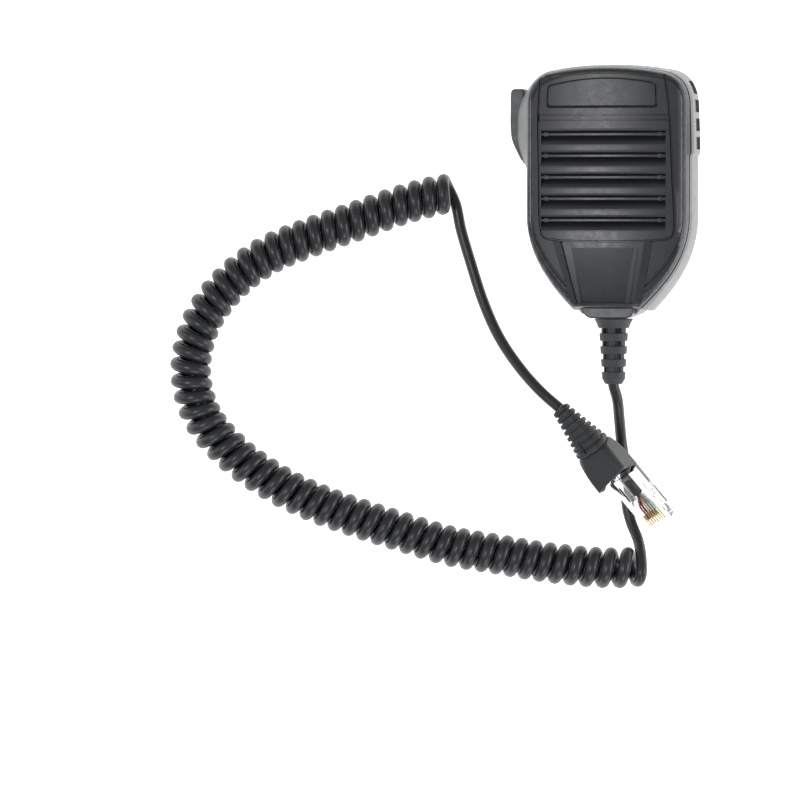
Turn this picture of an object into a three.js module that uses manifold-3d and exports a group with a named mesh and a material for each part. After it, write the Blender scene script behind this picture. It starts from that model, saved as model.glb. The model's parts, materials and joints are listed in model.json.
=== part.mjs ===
// Hand microphone of a mobile radio: a handset with a push-to-talk bar, a curly cord and an
// eight-way modular plug. Millimetres, +Z up. The handset lies on its back, propped by its
// hanger stud, and the cord and plug lie on the same floor.
//
// The handset is drawn in its own frame and then tilted into its resting pose: +X is the right
// side seen from the front, +Y the top end, +Z out of the grille, z = 0 the parting plane.
// The plug has a frame of its own too: +Y towards the tip, +Z out of the contact side.
import * as THREE from 'three';
import { mergeVertices } from 'three/addons/utils/BufferGeometryUtils.js';
import Module from 'manifold-3d';

const wasm = await Module();
wasm.setup();

const GAP = 0.3; // room left between pieces that touch

// Resting pose of the handset: top end raised, and rolled towards the push-to-talk bar.
const PITCH = THREE.MathUtils.degToRad(2);
const ROLL = THREE.MathUtils.degToRad(13);

const CASE = {
  halfWidth: 30.4, top: 45.6, bottom: -44.5, lipHalf: 11.7,
  cornerX: 22, cornerY: 43, shoulderY: 32, taperY: -10,
  front: 9.4, back: -17, wall: 2.2,
};
const NECK = { halfWidth: 9.3, bottom: -47.9, front: 4.4, cornerX: 7.2, cornerY: -46.6 };
const POD = { reach: 5.2, foot: 0, full: 20, shoulderZ: -6.4 }; // bulge that carries the push-to-talk bar
const GRILLE = { slots: 5, firstY: 20, pitch: 7.93, halfWidth: 23.3, height: 2.6 };
const BADGE = { halfWidth: 21.3, bottom: 30, top: 40.5, depth: 0.5 };
const GRIP = { ribs: 4, firstY: 13.5, pitch: 6.9, length: 2.6, rise: 0.7 };

const CORD = { radius: 2.05, axisZ: -9 }; // straight cord, and the height of its axis in the handset
const CURL = { radius: 7.8 }; // outer radius of the wound stretch
const RELIEF = { flangeY: -48.2, bellY: -72.6, boreRadius: 2.4, rings: 4, firstGapY: -52.3, pitch: 4.82 };

const LEVER = {
  hingeX: -32.6, hingeY: 11.1, barrel: 1.9, pinRadius: 0.8,
  outerX: -39, innerX: -33.8, top: 37.4, bottomZ: -15, topZ: -6.8,
};
const SLOT = { floorX: -30.2, foot: 8.8, head: 37.9, bottomZ: -15.3, topZ: -6.5 };
const PLUNGER = { y: 28, z: -8.8, radius: 1.6, outerX: -33.4, innerX: -22 };

const STUD = { y: 11, headRadius: 9, headThick: 2.4, reach: 5.4, neckRadius: 4, shankRadius: 2.5 };
const BOARD = { halfWidth: 20.5, bottom: -28, top: 38, back: -4, front: -2.4 };
const CASE_SCREWS = [[-24.3, 35.3], [24.3, 35.3], [-16.3, -33.6], [16.3, -33.6]];
const BOARD_SCREWS = [[-16, -22], [16, -22]];
const CLAMP = { y: -36, screwX: 6.5 };
const BOSS_RADIUS = 3;
const SCREW = { shank: 1.3, head: 2.5, headThick: 1.8 };
const CAPSULE = { y: 3.4, radius: 4.85, holderRadius: 6.8 };

const PLUG = { width: 11.68, length: 21.46, height: 6.5, contacts: 8, wires: 6, pitch: 1.016 };
const LATCH = { hingeY: 19.4, length: 15, halfWidth: 3, tabHalf: 1.6, thick: 1, splay: THREE.MathUtils.degToRad(14) };
const BOOT = { width: 16, height: 12.5, offsetX: 1.2, offsetZ: 3, block: 17.3, cone: 18.6, ribs: 7, sag: 0.0152 };

// Where the plug rests: the middle of its rear face, and its heading, dip and roll.
const PLUG_REST = { x: 8, y: -94.5, z: 11.6, yaw: -140, pitch: -15, roll: 27 };

// Routes of the cord over the floor, from the handset round to the plug.
const MIC_TAIL = [
  [3.3, -60.2, 11.9], [4.7, -65, 10.8], [5.7, -73, 6.5], [6.6, -81, 2.9], [7.9, -90, 2.1],
  [8.2, -98.5, 2.1], [8.8, -105.5, 2.1], [10.3, -111.5, 2.5], [12.6, -117.5, 5], [13.6, -123.5, 9.8],
  [14.5, -129, 12.5],
];
const CURL_ROUTE = [
  [10.6, -128], [-1.5, -128], [-22, -126], [-40, -123], [-57.5, -120], [-74.5, -115],
  [-92, -109.5], [-108.5, -103.5], [-124.5, -95.5], [-139, -85], [-150.5, -71], [-154.5, -54],
  [-150.5, -36.5], [-140, -22], [-126, -11.5], [-109.5, -4.5], [-92.5, 1.5], [-75.5, 7.5],
  [-60.5, 11.5],
];
const PLUG_TAIL = [
  [-56.5, 14.5, 2.3], [-55.5, 8, 2.1], [-53.5, -1.5, 2.1], [-50, -13.5, 2.1], [-45, -29, 2.9],
  [-39.2, -42, 5.6], [-31.2, -54, 10.3], [-23.6, -62.6, 15.1], [-17.1, -68.4, 18],
];

// ---------------------------------------------------------------- geometry toolbox

// A closed mesh as a solid that can be joined and cut.
function solid(geometry) {
  const bare = geometry.index ? geometry.clone() : geometry;
  bare.deleteAttribute('normal');
  bare.deleteAttribute('uv');
  const merged = mergeVertices(bare, 1e-4);
  return new wasm.Manifold(new wasm.Mesh({
    numProp: 3,
    vertProperties: new Float32Array(merged.attributes.position.array),
    triVerts: new Uint32Array(merged.index.array),
  }));
}

function geometryOf(shape) {
  const mesh = shape.getMesh();
  const geometry = new THREE.BufferGeometry();
  geometry.setAttribute('position', new THREE.BufferAttribute(mesh.vertProperties, 3));
  geometry.setIndex(new THREE.BufferAttribute(mesh.triVerts, 1));
  geometry.computeVertexNormals();
  return geometry;
}

const join = (...shapes) => shapes.reduce((all, next) => all.add(next));
const cut = (shape, ...tools) => tools.reduce((rest, tool) => rest.subtract(tool), shape);

function box(x0, x1, y0, y1, z0, z1) {
  const geometry = new THREE.BoxGeometry(x1 - x0, y1 - y0, z1 - z0);
  geometry.translate((x0 + x1) / 2, (y0 + y1) / 2, (z0 + z1) / 2);
  return solid(geometry);
}

// A round bar along Z.
function rod(x, y, z0, z1, radius, sides = 16) {
  const geometry = new THREE.CylinderGeometry(radius, radius, z1 - z0, sides);
  geometry.rotateX(Math.PI / 2);
  geometry.translate(x, y, (z0 + z1) / 2);
  return solid(geometry);
}

// A round bar along X.
function crossRod(x0, x1, y, z, radius, sides = 16) {
  const geometry = new THREE.CylinderGeometry(radius, radius, x1 - x0, sides);
  geometry.rotateZ(Math.PI / 2);
  geometry.translate((x0 + x1) / 2, y, z);
  return solid(geometry);
}

// A flat outline [[x, y], ...] raised from z0 to z1.
function prism(outline, z0, z1) {
  const shape = new THREE.Shape(outline.map(([x, y]) => new THREE.Vector2(x, y)));
  const geometry = new THREE.ExtrudeGeometry(shape, { depth: z1 - z0, bevelEnabled: false });
  geometry.translate(0, 0, z0);
  return solid(geometry);
}

// A skin through rings of points, each ring counter-clockwise seen from the last ring's side,
// closed at both ends by fans from the rings' middles.
function loft(rings) {
  const count = rings[0].length;
  const points = rings.flat();
  const middle = (ring) => ring.reduce((sum, p) => sum.add(p), new THREE.Vector3()).divideScalar(count);
  const first = points.push(middle(rings[0])) - 1;
  const last = points.push(middle(rings[rings.length - 1])) - 1;
  const faces = [];
  for (let i = 0; i < count; i += 1) {
    const j = (i + 1) % count;
    for (let r = 0; r + 1 < rings.length; r += 1) {
      const a = r * count;
      const b = a + count;
      faces.push(a + i, a + j, b + j, a + i, b + j, b + i);
    }
    const end = (rings.length - 1) * count;
    faces.push(first, j, i, last, end + i, end + j);
  }
  const geometry = new THREE.BufferGeometry();
  geometry.setAttribute('position', new THREE.Float32BufferAttribute(points.flatMap((p) => [p.x, p.y, p.z]), 3));
  geometry.setIndex(faces);
  return solid(geometry);
}

// A turned piece: profile [[radius, along], ...] spun about the line x = 0, z = axisZ along +Y.
function turnedAlongY(profile, axisZ, sides) {
  const geometry = new THREE.LatheGeometry(profile.map(([r, y]) => new THREE.Vector2(r, y)), sides);
  geometry.translate(0, 0, axisZ);
  return solid(geometry);
}

// A turned piece about a line along Z through (0, y).
function turnedAlongZ(profile, y, sides) {
  const geometry = new THREE.LatheGeometry(profile.map(([r, z]) => new THREE.Vector2(r, z)), sides);
  geometry.rotateX(Math.PI / 2);
  geometry.translate(0, y, 0);
  return solid(geometry);
}

function tube(route, radius, sides, steps) {
  const section = new THREE.Shape();
  section.absarc(0, 0, radius, 0, 2 * Math.PI, false);
  const points = section.getSpacedPoints(sides).slice(0, sides);
  const path = new THREE.CatmullRomCurve3(route.map((p) => new THREE.Vector3(...p)));
  const settings = { steps, extrudePath: path, bevelEnabled: false };
  return solid(new THREE.ExtrudeGeometry(new THREE.Shape(points), settings));
}

// ---------------------------------------------------------------- outlines

const ease = (t) => THREE.MathUtils.smoothstep(t, 0, 1);

// How far the pod bulges past the side of the case at height y, as a share of its reach.
function podShare(y) {
  const rise = ease((y - POD.foot) / (POD.full - POD.foot));
  const fall = 1 - 0.8 * ease((y - 26) / 17);
  return rise * fall;
}

// Outline of the case, counter-clockwise, moved outwards by grow; the left side carries the pod.
function caseOutline(grow = 0, pod = 0) {
  const side = CASE.halfWidth + grow;
  const half = new THREE.Path();
  half.moveTo(CASE.lipHalf + 1.6 * grow, CASE.bottom - grow);
  half.quadraticCurveTo(side + 0.4, -27 - 1.5 * grow, side, CASE.taperY);
  half.lineTo(side, 2);
  half.lineTo(side, 14);
  half.lineTo(side, 20);
  half.lineTo(side, 26);
  half.lineTo(side, CASE.shoulderY);
  half.quadraticCurveTo(side - 0.4, 40.9 + grow, CASE.cornerX + grow, CASE.cornerY + grow);
  half.quadraticCurveTo(11, CASE.top + grow, 0, CASE.top + grow);
  const right = half.getPoints(5).map((p) => [p.x, p.y]);
  const left = right.slice(0, -1).reverse().map(([x, y]) => [-x - pod * podShare(y), y]);
  return [...right, ...left];
}

const level = (z, grow, pod) => caseOutline(grow, pod).map(([x, y]) => new THREE.Vector3(x, y, z));

const neckOutline = [
  [-NECK.halfWidth, -43.5], [-NECK.halfWidth, NECK.cornerY], [-NECK.cornerX, NECK.bottom],
  [NECK.cornerX, NECK.bottom], [NECK.halfWidth, NECK.cornerY], [NECK.halfWidth, -43.5],
];

// ---------------------------------------------------------------- handset pieces

function frontCase() {
  const z0 = GAP / 2;
  const inside = CASE.front - 2.4;
  const skin = loft([level(z0, 0), level(6, -0.3), level(8.3, -0.9), level(CASE.front, -2.2)]);
  const hollow = loft([level(z0 - 1, -CASE.wall), level(inside, -CASE.wall - 0.5)]);
  let shell = cut(join(skin, prism(neckOutline, z0, NECK.front)), hollow);
  for (const [x, y] of CASE_SCREWS) {
    shell = join(shell, rod(x, y, z0, inside + 0.5, BOSS_RADIUS));
    shell = cut(shell, rod(x, y, z0 - 1, inside - 1, SCREW.shank + GAP, 12));
  }
  for (let i = 0; i < GRILLE.slots; i += 1) {
    const y = GRILLE.firstY - i * GRILLE.pitch;
    shell = cut(shell, box(-GRILLE.halfWidth, GRILLE.halfWidth, y - GRILLE.height / 2,
      y + GRILLE.height / 2, inside - 1, CASE.front + 1));
  }
  return cut(shell, box(-BADGE.halfWidth, BADGE.halfWidth, BADGE.bottom, BADGE.top,
    CASE.front - BADGE.depth, CASE.front + 1));
}

function rearCase() {
  const z1 = -GAP / 2;
  const floor = CASE.back + CASE.wall;
  const skin = loft([
    level(CASE.back, -2.2, 4), level(-16, -0.4, POD.reach), level(-13, 0.8, POD.reach),
    level(POD.shoulderZ, 0.6, POD.reach), level(z1, 0, 0.6),
  ]);
  const hollow = loft([level(floor, -CASE.wall - 0.6), level(-12, -CASE.wall), level(z1 + 1, -CASE.wall)]);
  let shell = join(skin, prism(neckOutline, CASE.back + 1, z1));
  for (let i = 0; i < GRIP.ribs; i += 1) {
    const y = GRIP.firstY + i * GRIP.pitch;
    const side = CASE.halfWidth + 0.6 + GRIP.rise;
    shell = join(shell, box(side - 2, side, y - GRIP.length / 2, y + GRIP.length / 2, -13.5, -7));
  }
  shell = cut(shell, hollow);
  for (const [x, y] of CASE_SCREWS) {
    shell = join(shell, rod(x, y, floor - 0.5, z1, BOSS_RADIUS));
    shell = cut(shell, rod(x, y, CASE.back - 1, 1, SCREW.shank + GAP, 12));
    shell = cut(shell, rod(x, y, CASE.back - 1, CASE.back + SCREW.headThick, SCREW.head + GAP));
  }
  for (const [x, y] of BOARD_SCREWS) {
    shell = join(shell, rod(x, y, floor - 0.5, BOARD.back - GAP, 2.5, 12));
    shell = cut(shell, rod(x, y, -9, 0, 1 + GAP, 10));
  }
  for (const x of [-CLAMP.screwX, CLAMP.screwX]) {
    shell = join(shell, rod(x, CLAMP.y, floor - 0.5, -6.4, 2, 12));
    shell = cut(shell, rod(x, CLAMP.y, -10, -5, 0.8 + GAP, 10));
  }
  // slot of the push-to-talk bar, the holes of its hinge pin and of the plunger
  shell = cut(shell, box(-60, SLOT.floorX, SLOT.foot, SLOT.head, SLOT.bottomZ, SLOT.topZ));
  shell = cut(shell, rod(LEVER.hingeX, LEVER.hingeY, -16.4, -5, LEVER.pinRadius + GAP, 12));
  shell = cut(shell, crossRod(-34, -27, PLUNGER.y, PLUNGER.z, PLUNGER.radius + 0.4));
  // hole of the hanger stud and the bore of the strain relief
  shell = cut(shell, rod(0, STUD.y, CASE.back - 1, floor + 1, STUD.shankRadius + GAP));
  const bore = new THREE.CylinderGeometry(4.5, 4.5, 9, 20);
  bore.translate(0, -45.3, CORD.axisZ);
  return cut(shell, solid(bore));
}

function soundScreen() {
  return box(-24.5, 24.5, -18, 24, CASE.front - 2.4 - GAP - 1, CASE.front - 2.4 - GAP);
}

function micHolder() {
  const ring = rod(0, CAPSULE.y, BOARD.front + GAP, 3.6, CAPSULE.holderRadius, 20);
  return cut(ring, rod(0, CAPSULE.y, BOARD.front, 4, CAPSULE.radius + GAP, 20));
}

function micCapsule() {
  return rod(0, CAPSULE.y, BOARD.front + GAP, 3.9, CAPSULE.radius, 20);
}

function circuitBoard() {
  let board = box(-BOARD.halfWidth, BOARD.halfWidth, BOARD.bottom, BOARD.top, BOARD.back, BOARD.front);
  for (const [x, y] of BOARD_SCREWS) {
    board = cut(board, rod(x, y, BOARD.back - 1, BOARD.front + 1, 1 + GAP, 10));
  }
  return board;
}

function pttSwitch() {
  return box(-19.6, -13.6, PLUNGER.y - 3, PLUNGER.y + 3, -10.6, BOARD.back - GAP);
}

function leadConnector() {
  return box(-5, 5, -23.5, -17.5, -10.5, BOARD.back - GAP);
}

function cableClamp() {
  let plate = box(-9, 9, CLAMP.y - 2.5, CLAMP.y + 2.5, -6.1, -4.9);
  for (const x of [-CLAMP.screwX, CLAMP.screwX]) {
    plate = cut(plate, rod(x, CLAMP.y, -7, -4, 0.8 + GAP, 10));
  }
  return plate;
}

// A pan-head screw along Z; the head sits at headZ and the shank runs towards tipZ.
function screw(x, y, headZ, tipZ, shank, head, thick) {
  const away = Math.sign(headZ - tipZ);
  const far = headZ + away * thick;
  return join(
    rod(x, y, Math.min(headZ, tipZ), Math.max(headZ, tipZ), shank, 12),
    rod(x, y, Math.min(headZ, far), Math.max(headZ, far), head, 16),
  );
}

const caseScrew = ([x, y]) => screw(x, y, CASE.back + SCREW.headThick - GAP, 4,
  SCREW.shank, SCREW.head, SCREW.headThick - 0.5);
const boardScrew = ([x, y]) => screw(x, y, BOARD.front + GAP, -8.5, 1, 1.9, 1.2);
const clampScrew = (x) => screw(x, CLAMP.y, -4.9 + GAP, -9.5, 0.8, 1.6, 1);

// Ribbed sleeve with four rows of windows, gripped by the neck of the case.
function strainRelief() {
  const { flangeY, bellY, boreRadius, firstGapY, pitch, rings } = RELIEF;
  const profile = [
    [boreRadius, bellY], [3.1, bellY], [4.2, bellY + 1.4], [4.2, -71.5], [4.35, -68.3],
    [5.3, -53.7], [5.05, -52.3], [6.5, -49.1], [7.65, -49.1], [7.65, flangeY],
    [4.2, flangeY], [4.2, -41.2], [5.4, -41.2], [5.4, -39.7], [boreRadius, -39.7], [boreRadius, bellY],
  ];
  let sleeve = turnedAlongY(profile, CORD.axisZ, 24);
  for (let i = 0; i < rings; i += 1) {
    const top = firstGapY - i * pitch;
    for (let quarter = 0; quarter < 4; quarter += 1) {
      const window = new THREE.BoxGeometry(5, 1.9, 3.6);
      window.translate(boreRadius + 2.4, top - 0.95, 0);
      window.rotateY((quarter + 0.5) * Math.PI / 2);
      window.translate(0, 0, CORD.axisZ);
      sleeve = cut(sleeve, solid(window));
    }
  }
  return sleeve;
}

function leadIn() {
  const far = RELIEF.bellY + GAP;
  const geometry = new THREE.CylinderGeometry(CORD.radius, CORD.radius, -25 - far, 12);
  geometry.translate(0, (far - 25) / 2, CORD.axisZ);
  return solid(geometry);
}

function hangerStud() {
  const { headRadius, headThick, reach, neckRadius, shankRadius } = STUD;
  const end = CASE.back - reach;
  const seat = CASE.back - GAP;
  return turnedAlongZ([
    [0, end], [headRadius - 0.8, end], [headRadius, end + 0.8], [headRadius, end + headThick - 0.5],
    [headRadius - 0.5, end + headThick], [neckRadius, end + headThick], [neckRadius, seat],
    [shankRadius, seat], [shankRadius, -10.2], [0, -10.2],
  ], STUD.y, 24);
}

function hangerWasher() {
  const disc = rod(0, STUD.y, -14.5, -13.6, 6, 20);
  return cut(disc, rod(0, STUD.y, -15, -13, STUD.shankRadius + GAP));
}

function hangerNut() {
  const nut = rod(0, STUD.y, -13.3, -10.5, 4.6, 6);
  return cut(nut, rod(0, STUD.y, -14, -10, STUD.shankRadius + GAP));
}

// Push-to-talk bar: a thick curved bar on a barrel hinge at its lower end.
function pttLever() {
  const { hingeX, hingeY, barrel, outerX, innerX, top } = LEVER;
  const bar = prism([
    [innerX, 16], [innerX, top], [outerX + 0.9, top], [outerX + 0.3, top - 0.8],
    [outerX, 22], [outerX + 0.4, 18.5], [outerX + 2.4, 14.2], [hingeX - barrel - 0.3, 10.6],
    [hingeX, hingeY - barrel + 0.2], [hingeX + barrel - 0.2, hingeY],
  ], LEVER.bottomZ, LEVER.topZ);
  const whole = join(bar, rod(hingeX, hingeY, LEVER.bottomZ, LEVER.topZ, barrel));
  return cut(whole, rod(hingeX, hingeY, -20, 0, LEVER.pinRadius + GAP, 12));
}

function pttHingePin() {
  return rod(LEVER.hingeX, LEVER.hingeY, -16.1, -5.3, LEVER.pinRadius, 12);
}

function pttPlunger() {
  const { y, z, radius, outerX, innerX } = PLUNGER;
  return join(crossRod(outerX, innerX, y, z, radius), crossRod(-25.9, -25.1, y, z, radius + 0.8));
}

function pttSeal() {
  const { y, z, radius } = PLUNGER;
  return cut(crossRod(-27.9, -26.5, y, z, 3.6), crossRod(-29, -26, y, z, radius + 0.4));
}

// ---------------------------------------------------------------- plug pieces

function plugBody() {
  const { width, length, height, contacts, pitch } = PLUG;
  let body = box(-width / 2, width / 2, 0, length, -height / 2, height / 2);
  body = cut(body, box(-3.2, 3.2, -1, 9.5, -2.4, 2.4), box(-4.2, 4.2, 9, 18.6, 0.2, 1.6));
  for (let i = 0; i < contacts; i += 1) {
    const x = (i - (contacts - 1) / 2) * pitch;
    body = cut(body, box(x - 0.35, x + 0.35, 15.3, 20.6, 1.5, height / 2 + 1));
  }
  return body;
}

function contactBlade(index) {
  const x = (index - (PLUG.contacts - 1) / 2) * PLUG.pitch;
  return box(x - 0.15, x + 0.15, 15.6, 20.3, 1.85, PLUG.height / 2 - 0.35);
}

function plugWire(index) {
  const x = (index - (PLUG.wires - 1) / 2) * PLUG.pitch;
  const geometry = new THREE.CylinderGeometry(0.35, 0.35, 10.4, 8);
  geometry.translate(x, 12.9, 0.9);
  return solid(geometry);
}

function jacketEnd() {
  const geometry = new THREE.CylinderGeometry(CORD.radius, CORD.radius, 7.1, 12);
  geometry.translate(0, 3.85, 0);
  return solid(geometry);
}

// Sprung latch along the underside: hinged near the tip, its tab hangs away from the body.
function plugLatch() {
  const { length, halfWidth, tabHalf, thick, hingeY, splay } = LATCH;
  const outline = [
    [-halfWidth, 0], [-halfWidth, -6], [-tabHalf, -7.5], [-tabHalf, -length],
    [tabHalf, -length], [tabHalf, -7.5], [halfWidth, -6], [halfWidth, 0],
  ];
  const shape = new THREE.Shape(outline.map(([x, y]) => new THREE.Vector2(x, y)));
  const geometry = new THREE.ExtrudeGeometry(shape, { depth: thick, bevelEnabled: false });
  geometry.translate(0, 0, -thick);
  geometry.rotateX(splay);
  geometry.translate(0, hingeY, -PLUG.height / 2 - GAP);
  return solid(geometry);
}

// A rounded rectangle of the boot's width and height, as a ring in the plane of right and up.
function bootRing(middle, right, up, halfWidth, halfHeight, power) {
  const ring = [];
  const sides = 16;
  for (let i = 0; i < sides; i += 1) {
    const angle = (2 * Math.PI * (i + 0.5)) / sides;
    const squared = (value) => Math.sign(value) * Math.abs(value) ** power;
    const x = halfWidth * squared(Math.cos(angle));
    const z = halfHeight * squared(Math.sin(angle));
    ring.push(middle.clone().addScaledVector(right, x).addScaledVector(up, z));
  }
  return ring;
}

// Boot: a grip block behind the plug, then a ribbed cone that droops under the cord's pull.
function plugBoot() {
  const { width, height, offsetX, offsetZ, block, cone, ribs, sag } = BOOT;
  const roll = THREE.MathUtils.degToRad(PLUG_REST.roll);
  const down = new THREE.Vector3(Math.sin(roll), 0, -Math.cos(roll));
  const rings = [];
  const addRing = (s, scale, power) => {
    const past = Math.max(0, s - block);
    const middle = new THREE.Vector3(offsetX, -GAP - s, offsetZ).addScaledVector(down, sag * past * past);
    const forward = new THREE.Vector3(0, -1, 0).addScaledVector(down, 2 * sag * past).normalize();
    const right = new THREE.Vector3(1, 0, 0).addScaledVector(forward, -forward.x).normalize();
    const up = new THREE.Vector3().crossVectors(forward, right);
    rings.push(bootRing(middle, right, up, scale * width / 2, scale * height / 2, power));
  };
  addRing(0, 0.96, 0.3);
  addRing(1.5, 1, 0.3);
  addRing(block - 2, 0.98, 0.4);
  addRing(block - 0.5, 0.84, 0.6);
  const step = cone / ribs;
  for (let i = 0; i < ribs; i += 1) {
    const start = block + i * step;
    const size = 0.82 - (0.44 * i) / (ribs - 1);
    addRing(start, size - 0.08, 0.8);
    addRing(start + 0.4 * step, size - 0.08, 0.8);
    addRing(start + 0.45 * step, size, 0.8);
    addRing(start + 0.95 * step, size - 0.03, 0.8);
  }
  return loft(rings);
}

// ---------------------------------------------------------------- cord

const curlSpine = CURL_ROUTE.map(([x, y]) => [x, y, CURL.radius]);

// ---------------------------------------------------------------- assembly

function paint(color, roughness, metalness = 0) {
  return () => new THREE.MeshStandardMaterial({ color, roughness, metalness });
}

const blackPlastic = paint(0x2b2d30, 0.5);
const greyPlastic = paint(0x848587, 0.5);
const blackRubber = paint(0x1d1e20, 0.65);
const greyRubber = paint(0x3c4043, 0.65);
const clearPlastic = paint(0xe8edf0, 0.1);
const steel = paint(0xb9bcc0, 0.3, 1);
const gold = paint(0xd9b45a, 0.25, 1);
const boardGreen = paint(0x1f5a38, 0.55);
const cloth = paint(0x15161a, 0.95);
const beige = paint(0xd8d2c0, 0.5);

const group = new THREE.Group();
const handset = new THREE.Group();
const plug = new THREE.Group();
group.add(handset, plug);

function add(parent, name, shape, material) {
  const mesh = new THREE.Mesh(geometryOf(shape), material());
  mesh.name = name;
  parent.add(mesh);
}

add(handset, 'front_case', frontCase(), blackPlastic);
add(handset, 'rear_case', rearCase(), greyPlastic);
add(handset, 'sound_screen', soundScreen(), cloth);
add(handset, 'mic_holder', micHolder(), blackRubber);
add(handset, 'mic_capsule', micCapsule(), steel);
add(handset, 'circuit_board', circuitBoard(), boardGreen);
add(handset, 'ptt_switch', pttSwitch(), blackPlastic);
add(handset, 'lead_connector', leadConnector(), beige);
add(handset, 'cable_clamp', cableClamp(), steel);
add(handset, 'strain_relief', strainRelief(), greyRubber);
add(handset, 'cord_lead_in', leadIn(), blackRubber);
add(handset, 'hanger_stud', hangerStud(), steel);
add(handset, 'hanger_washer', hangerWasher(), steel);
add(handset, 'hanger_nut', hangerNut(), steel);
add(handset, 'ptt_lever', pttLever(), blackRubber);
add(handset, 'ptt_hinge_pin', pttHingePin(), steel);
add(handset, 'ptt_plunger', pttPlunger(), beige);
add(handset, 'ptt_seal', pttSeal(), blackRubber);
CASE_SCREWS.forEach((at, i) => add(handset, `case_screw_${i + 1}`, caseScrew(at), steel));
BOARD_SCREWS.forEach((at, i) => add(handset, `board_screw_${i + 1}`, boardScrew(at), steel));
[-CLAMP.screwX, CLAMP.screwX].forEach((x, i) => add(handset, `clamp_screw_${i + 1}`, clampScrew(x), steel));

add(plug, 'plug_body', plugBody(), clearPlastic);
add(plug, 'plug_latch', plugLatch(), clearPlastic);
add(plug, 'plug_boot', plugBoot(), blackRubber);
add(plug, 'cord_jacket_end', jacketEnd(), blackRubber);
for (let i = 0; i < PLUG.contacts; i += 1) {
  add(plug, `contact_${i + 1}`, contactBlade(i), gold);
}
const wireColours = [0xf0efe8, 0x2f9f94, 0xe2582a, 0xd9d4c6, 0x2a2a2c, 0xd8402c];
wireColours.forEach((colour, i) => add(plug, `wire_${i + 1}`, plugWire(i), paint(colour, 0.45)));

add(group, 'cord_mic_tail', tube(MIC_TAIL, CORD.radius, 10, 14), blackRubber);
add(group, 'cord_curl', tube(curlSpine, CURL.radius, 12, 36), blackRubber);
add(group, 'cord_plug_tail', tube(PLUG_TAIL, CORD.radius, 10, 14), blackRubber);

// Tilt the handset into its rest, and stand its bounding box's lower middle on the origin.
handset.rotation.set(PITCH, -ROLL, 0, 'XYZ');
handset.updateMatrixWorld(true);
const reach = new THREE.Box3().setFromObject(handset, true);
handset.position.set(-(reach.min.x + reach.max.x) / 2, -(reach.min.y + reach.max.y) / 2, -reach.min.z);

const { degToRad } = THREE.MathUtils;
plug.rotation.set(degToRad(PLUG_REST.pitch), degToRad(PLUG_REST.roll), degToRad(PLUG_REST.yaw), 'ZXY');
plug.position.set(PLUG_REST.x, PLUG_REST.y, PLUG_REST.z);

export default group;
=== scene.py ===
import json
from math import ceil, cos, exp, pi, radians, sin, sqrt

import bmesh
import bpy
from mathutils import Matrix, Vector


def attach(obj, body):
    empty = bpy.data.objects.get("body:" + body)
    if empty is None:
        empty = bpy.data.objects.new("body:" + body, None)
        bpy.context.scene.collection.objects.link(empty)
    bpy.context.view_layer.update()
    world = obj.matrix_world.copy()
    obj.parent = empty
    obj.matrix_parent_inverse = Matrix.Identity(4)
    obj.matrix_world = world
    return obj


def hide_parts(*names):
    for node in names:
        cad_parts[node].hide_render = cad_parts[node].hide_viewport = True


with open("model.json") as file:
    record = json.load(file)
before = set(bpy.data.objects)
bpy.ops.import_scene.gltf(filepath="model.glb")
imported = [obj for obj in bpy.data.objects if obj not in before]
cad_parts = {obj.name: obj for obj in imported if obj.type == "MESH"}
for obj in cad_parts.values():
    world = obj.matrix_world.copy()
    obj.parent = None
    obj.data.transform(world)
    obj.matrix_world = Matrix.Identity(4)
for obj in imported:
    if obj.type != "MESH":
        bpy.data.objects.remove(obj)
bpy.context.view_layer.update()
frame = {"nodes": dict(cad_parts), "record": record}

# Shapes are made in millimetres in the axes of the piece that they belong to, and end in metres.
MM = 0.001
FLOOR_DROP = 0.0002
FLOOR_HALF = 6.0
SCENE = bpy.context.scene

# ---------------------------------------------------------------- where things lie

PITCH = radians(2)
ROLL = radians(13)
PLUG_YAW = radians(-140)
PLUG_PITCH = radians(-15)
PLUG_ROLL = radians(27)
MOUNTS = {mount["name"]: Vector(mount["pos_m"]) / MM for mount in frame["record"]["mounts"]}


def turned(angle, axis):
    return Matrix.Rotation(angle, 3, axis)


def axes_at(turn, known, place):
    """Axes turned by turn, set so that their point known lies at place."""
    return Matrix.Translation((place - turn @ known) * MM) @ turn.to_4x4()


HANDSET = axes_at(turned(PITCH, "X") @ turned(-ROLL, "Y"), Vector((0, 11, -22.4)), MOUNTS["hanger_face"])
PLUG = axes_at(
    turned(PLUG_YAW, "Z") @ turned(PLUG_PITCH, "X") @ turned(PLUG_ROLL, "Y"),
    Vector((0, 21.46, -1.2)),
    MOUNTS["plug_front"],
)

# ---------------------------------------------------------------- sizes, in millimetres

HALF_WIDTH = 30.4
TOP = 45.6
BOTTOM = -44.5
LIP_HALF = 13.4
CORNER = (22.7, 43.3)
SHOULDER_Y = 32
TAPER_Y = -10
FACE = 8.6
CROWN = 2.3
CORD_RADIUS = 2.05
CORD_AXIS_Z = -9

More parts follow.
